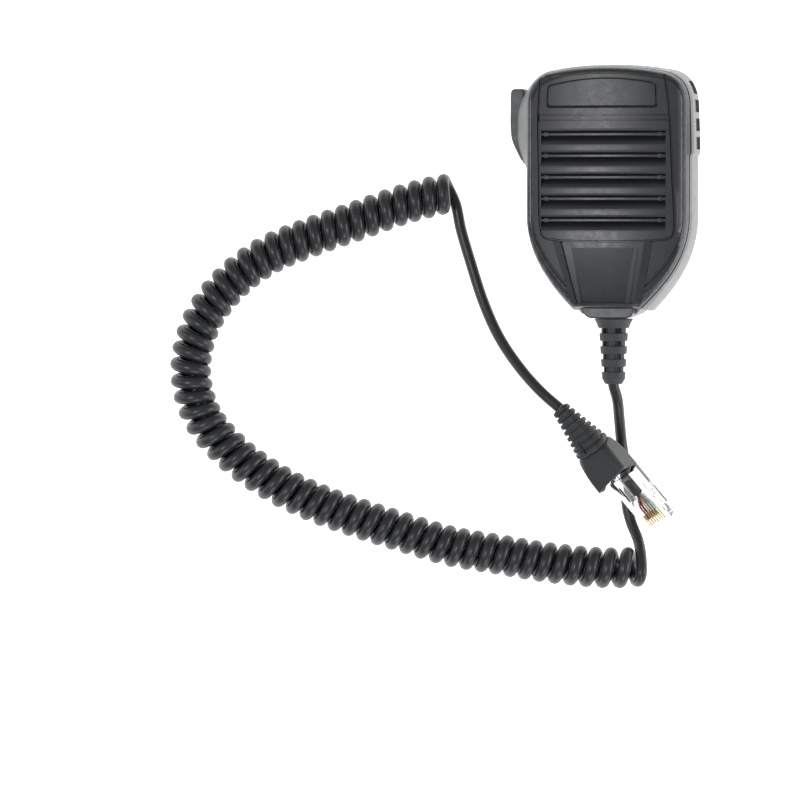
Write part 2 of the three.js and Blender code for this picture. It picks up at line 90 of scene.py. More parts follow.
MIC_TAIL = [
    (3.3, -60.2, 11.9), (4.7, -65, 10.8), (5.7, -73, 6.5), (6.6, -81, 2.9), (7.9, -90, 2.1),
    (8.2, -98.5, 2.1), (8.8, -105.5, 2.1), (10.3, -111.5, 2.5), (12.6, -117.5, 5), (13.6, -123.5, 9.8),
]
INSIDE_RELIEF = (3.1, -58.2, 12.35)
CURL_ROUTE = [
    (14.2, -128), (10.6, -128), (-1.5, -128), (-22, -126), (-40, -123), (-57.5, -120), (-74.5, -115),
    (-92, -109.5), (-108.5, -103.5), (-124.5, -95.5), (-139, -85), (-150.5, -71), (-154.5, -54),
    (-150.5, -36.5), (-140, -22), (-126, -11.5), (-109.5, -4.5), (-92.5, 1.5), (-75.5, 7.5),
    (-60.5, 11.5), (-57.5, 12.2),
]
PLUG_TAIL = [
    (-55.5, 8, 2.1), (-53.5, -1.5, 2.1), (-50, -13.5, 2.1), (-45, -29, 2.9),
    (-39.2, -42, 5.6), (-31.2, -54, 10.3), (-23.6, -62.6, 15.1), (-17.1, -68.4, 18),
]
CURL_OUTER = 7.8
COIL_CORD_RADIUS = 2.4
COIL_TURNS = 57.5
TURN_POINTS = 26

# ---------------------------------------------------------------- mesh toolbox


def mesh_object(name, points, faces):
    mesh = bpy.data.meshes.new(name)
    mesh.from_pydata([tuple(p) for p in points], [], faces)
    work = bmesh.new()
    work.from_mesh(mesh)
    bmesh.ops.remove_doubles(work, verts=work.verts, dist=1e-4)
    bmesh.ops.recalc_face_normals(work, faces=work.faces)
    work.to_mesh(mesh)
    work.free()
    made = bpy.data.objects.new(name, mesh)
    SCENE.collection.objects.link(made)
    return made


def loft(rings, closed=False):
    """A skin over rings of equally many points, capped unless it closes on itself."""
    count = len(rings[0])
    points = [p for ring in rings for p in ring]
    faces = []
    spans = len(rings) if closed else len(rings) - 1
    for r in range(spans):
        low = r * count
        high = ((r + 1) % len(rings)) * count
        for i in range(count):
            j = (i + 1) % count
            faces.append((low + i, low + j, high + j, high + i))
    if not closed:
        faces.append(tuple(reversed(range(count))))
        faces.append(tuple(range(len(points) - count, len(points))))
    return mesh_object("loft", points, faces)


def prism(outline, low, high):
    return loft([[(x, y, z) for x, y in outline] for z in (low, high)])


def cross_prism(outline, low, high):
    """An outline in y and z, drawn out along x."""
    return loft([[(x, y, z) for y, z in outline] for x in (low, high)])


def block(x0, x1, y0, y1, z0, z1):
    return prism([(x0, y0), (x1, y0), (x1, y1), (x0, y1)], z0, z1)


def circle(radius, sides=32, start=0.0):
    angles = [start + 2 * pi * i / sides for i in range(sides)]
    return [(radius * cos(a), radius * sin(a)) for a in angles]


def rod(x, y, low, high, radius, sides=32):
    return prism([(x + a, y + b) for a, b in circle(radius, sides)], low, high)


def cross_rod(low, high, y, z, radius, sides=24):
    return cross_prism([(y + a, z + b) for a, b in circle(radius, sides)], low, high)


def turned_shape(profile, place, sides=48):
    """A profile of (radius, height) turned about an axis; place(radius, angle, height) gives a point."""
    rings = [[place(r, 2 * pi * i / sides, h) for i in range(sides)] for r, h in profile]
    return loft(rings)


def about_z(x, y):
    return lambda r, a, h: (x + r * cos(a), y + r * sin(a), h)


def about_y(x, z):
    return lambda r, a, h: (x + r * cos(a), h, z + r * sin(a))


def swept(path, section, closed=False):
    """A section of (side, up) offsets carried along a level path."""
    rings = []
    last = len(path) - 1
    for i, p in enumerate(path):
        before = path[(i - 1) % len(path)] if closed or i > 0 else p
        after = path[(i + 1) % len(path)] if closed or i < last else p
        ahead = Vector((after[0] - before[0], after[1] - before[1])).normalized()
        side = Vector((ahead.y, -ahead.x))
        rings.append([(p[0] + side.x * s, p[1] + side.y * s, p[2] + u) for s, u in section])
    return loft(rings, closed)


def baked(item):
    graph = bpy.context.evaluated_depsgraph_get()
    mesh = bpy.data.meshes.new_from_object(item.evaluated_get(graph))
    item.modifiers.clear()
    item.data = mesh
    return item


def combined(base, operation, others):
    for other in others:
        step = base.modifiers.new("combine", "BOOLEAN")
        step.operation = operation
        step.solver = "MANIFOLD"
        step.object = other
    baked(base)
    for other in others:
        bpy.data.objects.remove(other)
    return base


def cut(base, *others):
    return combined(base, "DIFFERENCE", others)


def join(base, *others):
    return combined(base, "UNION", others)


def eased(item, width, segments=2, angle=30):
    """Rounds the edges that are sharper than angle."""
    step = item.modifiers.new("round", "BEVEL")
    step.width = width
    step.segments = segments
    step.limit_method = "ANGLE"
    step.angle_limit = radians(angle)
    step.harden_normals = False
    return baked(item)


def sliced(item, axis, places):
    """Cuts the faces along planes across an axis, so that the piece can be bent smoothly."""
    work = bmesh.new()
    work.from_mesh(item.data)
    normal = Vector((1, 0, 0)) if axis == 0 else Vector((0, 1, 0))
    for place in places:
        everything = work.verts[:] + work.edges[:] + work.faces[:]
        bmesh.ops.bisect_plane(work, geom=everything, plane_co=normal * place, plane_no=normal, dist=1e-5)
    work.to_mesh(item.data)
    work.free()
    return item


def moved(item, change):
    for v in item.data.vertices:
        v.co = change(v.co)
    return item


def merged(items):
    """Several solids as one object, each keeping its own closed surface."""
    work = bmesh.new()
    for item in items:
        work.from_mesh(item.data)
        bpy.data.objects.remove(item)
    mesh = bpy.data.meshes.new("merged")
    work.to_mesh(mesh)
    work.free()
    made = bpy.data.objects.new("merged", mesh)
    SCENE.collection.objects.link(made)
    return made


def smooth(item, angle=32, weighted=True):
    limit = radians(angle)
    work = bmesh.new()
    work.from_mesh(item.data)
    for face in work.faces:
        face.smooth = True
    for edge in work.edges:
        flat = len(edge.link_faces) != 2
        edge.smooth = not flat and edge.calc_face_angle(0) < limit
    work.to_mesh(item.data)
    work.free()
    if weighted:
        step = item.modifiers.new("normals", "WEIGHTED_NORMAL")
        step.keep_sharp = True
        step.weight = 80
        baked(item)
    return item


def placed(item, name, axes, material, body, nodes=(), angle=32, weighted=True):
    """Finishes a shape: metres, smooth shading, material, place, body, slot and the nodes it stands for."""
    smooth(item, angle, weighted)
    item.name = name
    item.data.name = name
    item.data.transform(Matrix.Scale(MM, 4))
    item.data.materials.clear()
    item.data.materials.append(material)
    item.matrix_world = axes
    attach(item, body)
    if nodes:
        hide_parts(*nodes)
    return item


def ramp(value, low, high):
    share = min(1, max(0, (value - low) / (high - low)))
    return share * share * (3 - 2 * share)


def quadratic(a, b, c, steps):
    points = []
    for i in range(steps + 1):
        t = i / steps
        points.append(tuple(p * (1 - t) ** 2 + 2 * q * t * (1 - t) + r * t * t for p, q, r in zip(a, b, c)))
    return points


def catmull(points, spacing):
    """A smooth curve through the points, as points about spacing apart."""
    points = [Vector(p) for p in points]
    ends = [points[0] * 2 - points[1], *points, points[-1] * 2 - points[-2]]
    curve = [points[0]]
    for a, b, c, d in zip(ends, ends[1:], ends[2:], ends[3:]):
        steps = max(1, ceil((c - b).length / spacing))
        ab, bc, cd = (sqrt((q - p).length) for p, q in ((a, b), (b, c), (c, d)))
        for i in range(1, steps + 1):
            t = ab + bc * i / steps
            p = a * (1 - t / ab) + b * (t / ab)
            q = b * (1 - (t - ab) / bc) + c * ((t - ab) / bc)
            r = c * (1 - (t - ab - bc) / cd) + d * ((t - ab - bc) / cd)
            s = p * (1 - t / (ab + bc)) + q * (t / (ab + bc))
            u = q * (1 - (t - ab) / (bc + cd)) + r * ((t - ab) / (bc + cd))
            curve.append(s * (1 - (t - ab) / bc) + u * ((t - ab) / bc))
    return curve


def rounded(corners, radius, steps=5):
    """An outline with each corner rounded."""
    outline = []
    count = len(corners)
    for i in range(count):
        before, here, after = (Vector(corners[k % count]) for k in (i - 1, i, i + 1))
        start = here + (before - here).normalized() * min(radius, (before - here).length / 2)
        end = here + (after - here).normalized() * min(radius, (after - here).length / 2)
        outline += quadratic(tuple(start), tuple(here), tuple(end), steps)
    return outline


# ---------------------------------------------------------------- materials


def fresh(name):
    """An empty material, its node tree and the place of a point in its own piece."""
    made = bpy.data.materials.new(name)
    made.use_nodes = True
    tree = made.node_tree
    tree.nodes.clear()
    return made, tree, tree.nodes.new("ShaderNodeTexCoord").outputs["Object"]


def node(tree, kind, **inputs):
    made = tree.nodes.new(kind)
    for key, value in inputs.items():
        made.inputs[key.replace("_", " ")].default_value = value
    return made


def noise(tree, place, size_mm, detail=3.0, roughness=0.5):
    texture = node(tree, "ShaderNodeTexNoise", Scale=1 / (size_mm * MM), Detail=detail, Roughness=roughness)
    tree.links.new(place, texture.inputs["Vector"])
    return texture.outputs["Fac"]


def spread(tree, value, low, high, start=0.3, end=0.7):
    """Maps a texture value from start..end to low..high."""
    made = node(tree, "ShaderNodeMapRange", From_Min=start, From_Max=end, To_Min=low, To_Max=high)
    tree.links.new(value, made.inputs["Value"])
    return made.outputs["Result"]


def shade(color, factor):
    return (color[0] * factor, color[1] * factor, color[2] * factor, 1)


def blend(tree, factor, low, high):
    """Mixes two colours, each a constant or an output, by a texture value."""
    made = node(tree, "ShaderNodeMix")
    made.data_type = "RGBA"
    for socket, color in ((made.inputs[6], low), (made.inputs[7], high)):
        if isinstance(color, tuple):
            socket.default_value = color
        else:
            tree.links.new(color, socket)
    tree.links.new(factor, made.inputs["Factor"])
    return made.outputs[2]


def raised(tree, shader, height, depth_mm, strength=1.0):
    """Bumps the surface of a shader by a texture value."""
    bump = node(tree, "ShaderNodeBump", Strength=strength, Distance=depth_mm * MM)
    tree.links.new(height, bump.inputs["Height"])
    tree.links.new(bump.outputs["Normal"], shader.inputs["Normal"])


def shown(tree, shader):
    output = tree.nodes.new("ShaderNodeOutputMaterial")
    tree.links.new(shader.outputs[0], output.inputs["Surface"])


def moulded(name, color, roughness, grain_mm=0.35, grain_depth=0.02, mottle=0.12, patch_mm=9, sheen=0.0,
            coat=0.0):
    """Moulded plastic or rubber: mottled colour, uneven gloss and a fine raised grain."""
    made, tree, place = fresh(name)
    patches = noise(tree, place, patch_mm, 4)
    grain = noise(tree, place, grain_mm, 2, 0.6)
    scuffs = noise(tree, place, patch_mm * 0.35, 6, 0.7)
    tone = blend(tree, spread(tree, patches, 0, 1), shade(color, 1 - mottle), shade(color, 1 + mottle))
    # Lighter specks where the grain stands highest.
    grain_tip_tone = shade([c + 0.02 for c in color], 1.25)
    speckled = blend(tree, spread(tree, grain, 0, 0.35, 0.55, 0.8), tone, grain_tip_tone)
    shader = node(tree, "ShaderNodeBsdfPrincipled", Roughness=roughness)
    shader.inputs["Sheen Weight"].default_value = sheen
    shader.inputs["Coat Weight"].default_value = coat
    tree.links.new(speckled, shader.inputs["Base Color"])
    gloss = spread(tree, scuffs, roughness * 0.85, min(1, roughness * 1.15))
    tree.links.new(gloss, shader.inputs["Roughness"])
    raised(tree, shader, grain, grain_depth)
    shown(tree, shader)
    return made


def metal(name, color, roughness, grain_mm=0.25):
    """Plated metal with fine turning marks and uneven gloss."""
    made, tree, place = fresh(name)
    haze = noise(tree, place, 2.5, 5, 0.6)
    marks = noise(tree, place, grain_mm, 3, 0.6)
    tone = blend(tree, spread(tree, haze, 0, 1), shade(color, 0.85), shade(color, 1.08))
    shader = node(tree, "ShaderNodeBsdfPrincipled", Metallic=1.0)
    tree.links.new(tone, shader.inputs["Base Color"])
    tree.links.new(spread(tree, haze, roughness * 0.7, roughness * 1.4), shader.inputs["Roughness"])
    raised(tree, shader, marks, 0.008, 0.6)
    shown(tree, shader)
    return made


def clear_plastic(name):
    """Clear polycarbonate with faint flow marks."""
    made, tree, place = fresh(name)
    flow = noise(tree, place, 3.0, 3)
    tone = blend(tree, flow, (0.93, 0.95, 0.95, 1), (0.99, 0.99, 0.99, 1))
    shader = node(tree, "ShaderNodeBsdfPrincipled", Roughness=0.04, IOR=1.45)
    shader.inputs["Transmission Weight"].default_value = 1.0
    tree.links.new(tone, shader.inputs["Base Color"])
    tree.links.new(spread(tree, flow, 0.02, 0.07), shader.inputs["Roughness"])
    raised(tree, shader, flow, 0.02, 0.4)
    shown(tree, shader)
    return made


def woven(name, color, thread_mm=0.35):
    """Fine cloth: crossing threads raised by two sets of waves."""
    made, tree, place = fresh(name)
    sets = []
    for direction in ("X", "Y"):
        threads = node(tree, "ShaderNodeTexWave", Scale=1 / (thread_mm * MM) / 20, Distortion=0.3)
        threads.bands_direction = direction
        tree.links.new(place, threads.inputs["Vector"])
        sets.append(threads.outputs["Fac"])
    both = tree.nodes.new("ShaderNodeMath")
    both.operation = "MAXIMUM"
    tree.links.new(sets[0], both.inputs[0])
    tree.links.new(sets[1], both.inputs[1])
    height = both.outputs[0]
    shader = node(tree, "ShaderNodeBsdfPrincipled", Roughness=0.95)
    # Thread crests are lighter and the hollows between threads darker: painted shade in the weave.
    tree.links.new(blend(tree, height, shade(color, 0.5), shade(color, 1.4)), shader.inputs["Base Color"])
    raised(tree, shader, height, 0.1)
    shown(tree, shader)
    return made


FRONT = moulded("front_plastic", (0.026, 0.028, 0.033), 0.33, grain_mm=0.45, grain_depth=0.014)
# The rear half's light grey is partly its own lighter plastic and partly painted glare, standing in for the
# white surround reflected on its side walls.
REAR = moulded("rear_plastic", (0.230, 0.233, 0.236), 0.42, grain_mm=0.40, grain_depth=0.016, mottle=0.06)
LEVER = moulded("lever_plastic", (0.085, 0.088, 0.095), 0.45, grain_mm=0.40, grain_depth=0.016, mottle=0.08)
RUBBER = moulded("boot_rubber", (0.018, 0.020, 0.023), 0.55, grain_mm=0.5, grain_depth=0.02, mottle=0.15,
                 sheen=0.28)
RELIEF_RUBBER = moulded("relief_rubber", (0.048, 0.052, 0.056), 0.62, grain_mm=0.5, grain_depth=0.02)
SOFT = moulded("soft_rubber", (0.020, 0.020, 0.022), 0.75, grain_mm=0.4, grain_depth=0.03)
JACKET = moulded("cord_jacket", (0.022, 0.023, 0.027), 0.36, grain_mm=0.6, grain_depth=0.01, mottle=0.10)
BEIGE = moulded("beige_plastic", (0.66, 0.62, 0.50), 0.45, mottle=0.05)
BOARD_GREEN = moulded("board_green", (0.02, 0.12, 0.05), 0.35, grain_mm=0.6, mottle=0.25, patch_mm=3,
                      coat=0.5)
CAN = metal("capsule_can", (0.72, 0.72, 0.72), 0.35)
STEEL = metal("plated_steel", (0.58, 0.59, 0.60), 0.32)
CHROME = metal("stud_chrome", (0.75, 0.76, 0.78), 0.16)
GOLD = metal("contact_gold", (0.83, 0.60, 0.22), 0.25)
CLEAR = clear_plastic("clear_plastic")
CLOTH = woven("screen_cloth", (0.012, 0.012, 0.014))
WIRE_COLORS = {
    "wire_1": ("wire_white", (0.80, 0.79, 0.74)),
    "wire_2": ("wire_teal", (0.10, 0.52, 0.47)),
    "wire_3": ("wire_orange", (0.90, 0.24, 0.10)),
    "wire_4": ("wire_cream", (0.70, 0.62, 0.42)),
    "wire_5": ("wire_black", (0.02, 0.02, 0.02)),
    "wire_6": ("wire_red", (0.80, 0.10, 0.08)),
}
FINISH = {
    "case_plastic": FRONT, "rear_plastic": REAR, "lever_plastic": LEVER, "beige_plastic": BEIGE,
    "boot_rubber": RUBBER, "relief_rubber": RELIEF_RUBBER, "soft_rubber": SOFT, "cord_jacket": JACKET,
    "capsule_can": CAN, "plated_steel": STEEL, "stud_chrome": CHROME, "contact_gold": GOLD,
    "clear_plastic": CLEAR, "screen_cloth": CLOTH, "board_green": BOARD_GREEN,
}
for slot_name, color in WIRE_COLORS.values():
    FINISH[slot_name] = moulded(slot_name, color, 0.4, grain_mm=0.5, grain_depth=0.01, mottle=0.06,
                                patch_mm=2)

for entry in frame["record"]["subparts"]:
    kept_node = frame["nodes"][entry["node"]]
    kept_node.data.materials.clear()
    kept_node.data.materials.append(FINISH[entry["material_slot"]])
    smooth(kept_node, 35, weighted=False)

# ---------------------------------------------------------------- camera, light and floor

CAMERA_HEIGHT = 2.0
CAMERA_LENS = 240
CAMERA_X = -0.07633
CAMERA_Y = -0.06543
WORLD_LIGHT = 0.34
FLOOR_GLOW = 1.1
LAMP_AIM = Vector((0, -0.02, 0.01))


def add_camera():
    lens = bpy.data.cameras.new("camera")
    lens.lens = CAMERA_LENS
    lens.sensor_width = 36
    lens.clip_end = 20
    camera = bpy.data.objects.new("camera", lens)
    camera.location = (CAMERA_X, CAMERA_Y, CAMERA_HEIGHT)
    SCENE.collection.objects.link(camera)
    SCENE.camera = camera


def add_softbox(name, direction, distance, width, height, power):
    """A rectangular lamp that faces the object from a direction."""
    data = bpy.data.lights.new(name, "AREA")
    data.shape = "RECTANGLE"
    data.size = width
    data.size_y = height
    data.energy = power
    lamp = bpy.data.objects.new(name, data)
    away = Vector(direction).normalized()
    lamp.location = LAMP_AIM + away * distance
    lamp.rotation_euler = away.to_track_quat("Z", "Y").to_euler()
    SCENE.collection.objects.link(lamp)


def add_floor():
    """A wide sheet of white paper that glows a little, so that it stays white under the lamps."""
    points = [(a * FLOOR_HALF, b * FLOOR_HALF, -FLOOR_DROP) for a, b in ((-1, -1), (1, -1), (1, 1), (-1, 1))]
    ground = mesh_object("floor", points, [(0, 1, 2, 3)])
    made, tree, place = fresh("floor_paper")
    tone = blend(tree, noise(tree, place, 30, 3), (0.88, 0.88, 0.88, 1), (0.90, 0.90, 0.90, 1))
    shader = node(tree, "ShaderNodeBsdfPrincipled", Roughness=0.9)
    shader.inputs["Specular IOR Level"].default_value = 0.1
    shader.inputs["Emission Color"].default_value = (1, 1, 1, 1)
    shader.inputs["Emission Strength"].default_value = FLOOR_GLOW
    tree.links.new(tone, shader.inputs["Base Color"])
    shown(tree, shader)
    ground.data.materials.append(made)


def add_world():
    world = bpy.data.worlds.new("studio")
    world.use_nodes = True
    background = world.node_tree.nodes["Background"]
    background.inputs["Color"].default_value = (1.0, 1.0, 1.0, 1)
    background.inputs["Strength"].default_value = WORLD_LIGHT
    SCENE.world = world
    SCENE.view_settings.view_transform = "Standard"
    SCENE.view_settings.look = "None"


add_camera()
add_world()
add_floor()
add_softbox("key", (-0.44, -0.07, 0.90), 1.6, 0.20, 0.34, 6.0)
add_softbox("right", (0.88, -0.1, 0.35), 1.5, 0.9, 0.5, 8.0)
add_softbox("low_left", (-0.9, 0.1, 0.30), 1.5, 0.8, 0.35, 2.5)
add_softbox("near_side", (0.15, -0.85, 0.45), 1.5, 0.8, 0.35, 5.0)

# ---------------------------------------------------------------- cord


def curl_points():
    """The wound stretch: a left-handed helix along its route, wide at the first turns."""
    axis = catmull([(x, y, 0) for x, y in CURL_ROUTE], 0.5)
    lengths = [0.0]
    for a, b in zip(axis, axis[1:]):
        lengths.append(lengths[-1] + (b - a).length)
    pitch = [1 + 0.35 * exp(-s / 9) + 0.02 * sin(s / 11.0) + 0.012 * sin(s / 4.3 + 1) for s in lengths]
    turns = [0.0]
    for i in range(1, len(lengths)):
        turns.append(turns[-1] + (lengths[i] - lengths[i - 1]) / pitch[i])
    scale = COIL_TURNS / turns[-1]
    winding = CURL_OUTER - COIL_CORD_RADIUS
    points = []
    count = int(COIL_TURNS * TURN_POINTS)
    k = 0
    for i in range(count + 1):
        wanted = turns[-1] * i / count
        while k < len(turns) - 2 and turns[k + 1] < wanted:
            k += 1
        share = (wanted - turns[k]) / (turns[k + 1] - turns[k])
        middle = axis[k].lerp(axis[k + 1], share)
        ahead = (axis[min(k + 2, len(axis) - 1)] - axis[max(k - 1, 0)]).normalized()
        left = Vector((-ahead.y, ahead.x, 0))
        angle = pi / 2 - 2 * pi * scale * wanted
        up = Vector((0, 0, 1))
        points.append(middle + left * winding * cos(angle) + up * (CURL_OUTER + winding * sin(angle)))
    return points


def add_cord():
    wound = curl_points()
    first = catmull([INSIDE_RELIEF, *MIC_TAIL, wound[2], wound[5], wound[8]], 1.6)[:-1]
    last = catmull([wound[-9], wound[-6], wound[-3], *PLUG_TAIL], 1.6)[1:]
    wound = wound[8:-8]
    points = [*first, *wound, *last]
    curve = bpy.data.curves.new("curly_cord", "CURVE")
    curve.dimensions = "3D"
    curve.bevel_depth = 1.0 * MM
    curve.bevel_resolution = 4
    curve.use_fill_caps = True
    spline = curve.splines.new("POLY")
    spline.points.add(len(points) - 1)
    for i, (target, p) in enumerate(zip(spline.points, points)):
        target.co = (*(p * MM), 1)
        into = ramp(i, len(first) - 6, len(first) + 10)
        out = 1 - ramp(i, len(first) + len(wound) - 10, len(first) + len(wound) + 6)
        target.radius = CORD_RADIUS + (COIL_CORD_RADIUS - CORD_RADIUS) * min(into, out)
    spline.use_smooth = True
    cord = bpy.data.objects.new("curly_cord", curve)
    SCENE.collection.objects.link(cord)
    curve.materials.append(JACKET)
    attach(cord, "handset")
    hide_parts("cord_mic_tail", "cord_curl", "cord_plug_tail")
    length = sum((b - a).length for a, b in zip(points, points[1:])) * MM
    return cord, length


# ---------------------------------------------------------------- case

GRIP_TOP = 40.5
GRIP_BOTTOM = 13.2
GRIP_SWELL = 0.8
GRIP_STEP = 1.3
PARTING = 0.15
BEVEL_START = -0.85
RIGHT_EXTRA = 0.9
RIGHT_BEVEL_CUT = 0.95
FINE = 14


def pod_share(y):
    """How far the pod swells past the left side at height y, as a share of its reach."""
    return ramp(y, 0, 20) * (1 - 0.8 * ramp(y, 26, 43))


def grip_share(y):
    """The right side swells down the grip and steps back in below it."""
    if y > GRIP_BOTTOM:
        return 1 - ramp(y, GRIP_BOTTOM, GRIP_TOP + 3)
    return ramp(y, GRIP_BOTTOM - GRIP_STEP, GRIP_BOTTOM)


def case_outline(grow=0.0, pod=0.0, grip=0.0):
    """The case seen from the front, counter-clockwise from the lower right."""
    side = HALF_WIDTH + grow
    shoulder = (CORNER[0] + grow, CORNER[1] + grow)
    lip = (LIP_HALF + 1.6 * grow, BOTTOM - grow)
    step = GRIP_BOTTOM - GRIP_STEP
    half = quadratic(lip, (side + 0.4, -27 - 1.5 * grow), (side, TAPER_Y), FINE)
    half += [(side, TAPER_Y + i * (step - TAPER_Y) / 8) for i in range(1, 8)]
    half += [(side, step), (side, GRIP_BOTTOM)]
    half += [(side, GRIP_BOTTOM + i * (SHOULDER_Y - GRIP_BOTTOM) / 8) for i in range(1, 8)]
    half += quadratic((side, SHOULDER_Y), (side - 0.4, 40.9 + grow), shoulder, FINE)
    half += quadratic(shoulder, (13.2, TOP + grow), (0, TOP + grow), FINE)[1:]
    right = [(x + grip * grip_share(y) * ramp(x, 20, 29), y) for x, y in half]
    left = [(-x - pod * pod_share(y), y) for x, y in reversed(half[:-1])]
    return [*right, *left]


def case_ring(z, grow, pod=0.0, grip=0.0):
    return [(x, y, z) for x, y in case_outline(grow, pod, grip)]


def front_ring(z, grow):
    """The front half is wider on the right, where its bevel is narrower than on the left."""
    grip = GRIP_SWELL * min(1, max(0, (7.5 - z) / 3))
    slim = grow + min(RIGHT_BEVEL_CUT, 0.76 * max(0, BEVEL_START - grow))
    ring = []
    for (x, y), (slim_x, slim_y) in zip(case_outline(grow, grip=grip), case_outline(slim, grip=grip)):
        share = ramp(x, 12, 26)
        ring.append((x + (slim_x - x + RIGHT_EXTRA) * share, y + (slim_y - y) * share, z))
    return ring


FRONT_NECK = [
    (-9.9, -43), (-9.4, -45.6), (-8.1, -47.1), (-6.4, -47.9),
    (6.9, -47.9), (8.9, -47.3), (9.7, -45.9), (9.9, -43),
]
REAR_NECK = [
    (-11.9, -43), (-11.5, -45), (-10.4, -46.2), (-6, -47.9),
    (6, -47.9), (10.4, -46.2), (11.5, -45), (11.9, -43),
]

# Louvres: each has a through gap behind a thin bar, then a scoop that rises to a rounded crest.
LOUVRES = 5
LOUVRE_FIRST = 21.3
LOUVRE_PITCH = 7.93
LOUVRE_LEFT = -24.0
LOUVRE_RIGHT = 22.8
SCOOP_DEPTH = 1.9

# The panel around the louvres and the badge recess, from its top left round to its top right.
PANEL_BORDER = [
    (-24.2, 41.6), (-25.1, 27), (-24.9, 10), (-24.2, -14.5), (-23.2, -17.6), (-20.6, -18.6),
    (22.6, -18.6), (25.0, -17.6), (25.9, -14.5), (25.2, 5), (24.6, 20), (23.7, 32.6), (22.3, 42.2),
]
BADGE_CORNERS = [(-22.0, 29.8), (19.9, 29.8), (19.4, 39.1), (-21.6, 38.3)]
BADGE_DEPTH = 1.1
CROSS_GROOVES = (27.25, 25.45)
INNER_PLATE = [(-9.0, -42.2), (7.4, -42.2), (10.8, -21.8), (-12.4, -21.8)]
PLATE_SLOPE = 0.065
CHANNEL = [(-10.9, -42.4), (11.1, -42.4), (15.2, -19.3), (-16.3, -19.3)]


def crown(p):
    """Lifts the middle of the face, more the nearer a point is to the face."""
    across = 1 - (p.x / 27.5) ** 2
    drop = max(0, -10 - p.y) ** 2 / 430
    lift = CROWN * max(0, across) - drop
    return Vector((p.x, p.y, p.z + lift * ramp(p.z, 2.5, FACE - 1)))


def louvre_cutter(top):
    """One louvre's hollow in y and z: crest above, gap through the wall, scoop, and the crest below."""
    gap = 2.05
    above = [(top + 2.0, FACE + 0.02), (top + 1.0, FACE - 0.01), (top + 0.45, FACE - 0.09),
             (top + 0.12, FACE - 0.24), (top, FACE - 0.46)]
    through = [(top - 0.15, 2), (top - gap, 2)]
    low = FACE - SCOOP_DEPTH
    scoop = []
    for i in range(11):
        t = i / 10
        scoop.append((top - gap - 2.9 * t, low + (SCOOP_DEPTH - 0.03) * sin(t * pi / 2) ** 1.4))
    below = [(top - 5.9, FACE + 0.02)]
    lid = [(top - 5.9, FACE + 3), (top + 2.0, FACE + 3)]
    outline = [*above, *through, *scoop, *below, *lid]
    return loft([[(x, y, z) for y, z in outline] for x in (LOUVRE_LEFT, LOUVRE_RIGHT)])


def panel_groove():
    """The fine groove along the panel's border."""
    section = [(a * 0.46, b * 0.75) for a, b in circle(1.0, 8, pi / 8)]
    path = catmull([(x, y, FACE) for x, y in PANEL_BORDER], 1.2)
    return swept([(p.x, p.y, FACE) for p in path], section)


def badge_cutter():
    """The blank recess: arched at its top, with walls that slope most at the right and below."""
    low_left, low_right, top_right, top_left = BADGE_CORNERS
    arc = quadratic(top_right, (-0.5, 43.4), top_left, 10)
    outline = rounded([low_left, low_right, top_right, *arc[1:-1], top_left], 1.2, 3)
    floor_outline = []
    for x, y in outline:
        floor_outline.append((x + 0.4 - 1.6 * ramp(x, -15, 17.5), y + 1.0 - 1.5 * ramp(y, 32, 38)))
    return loft([[(x, y, FACE - BADGE_DEPTH) for x, y in floor_outline],
                 [(x, y, FACE) for x, y in outline],
                 [(x, y, FACE + 2) for x, y in outline]])


def straight_groove(start, end, half_width, depth):
    """Cuts a straight groove into the face."""
    section = [(-half_width, 1), (-half_width * 0.8, -depth), (half_width * 0.8, -depth), (half_width, 1)]
    return swept([(*start, FACE), (*end, FACE)], section)


def wedge(outer_top, outer_low, inner_low, inner_top, rise):
    """A low rib beside the lower plate, a little higher at its inner edge."""
    base = FACE - 0.6

    def section(outer, outer_rise, inner, inner_rise):
        return [(*outer, base), (*outer, FACE + outer_rise), (*inner, FACE + inner_rise), (*inner, base)]

    return loft([
        section(outer_top, 0.75 * rise, inner_top, rise),
        section(outer_low, 0.6 * rise, inner_low, 0.85 * rise),
    ])


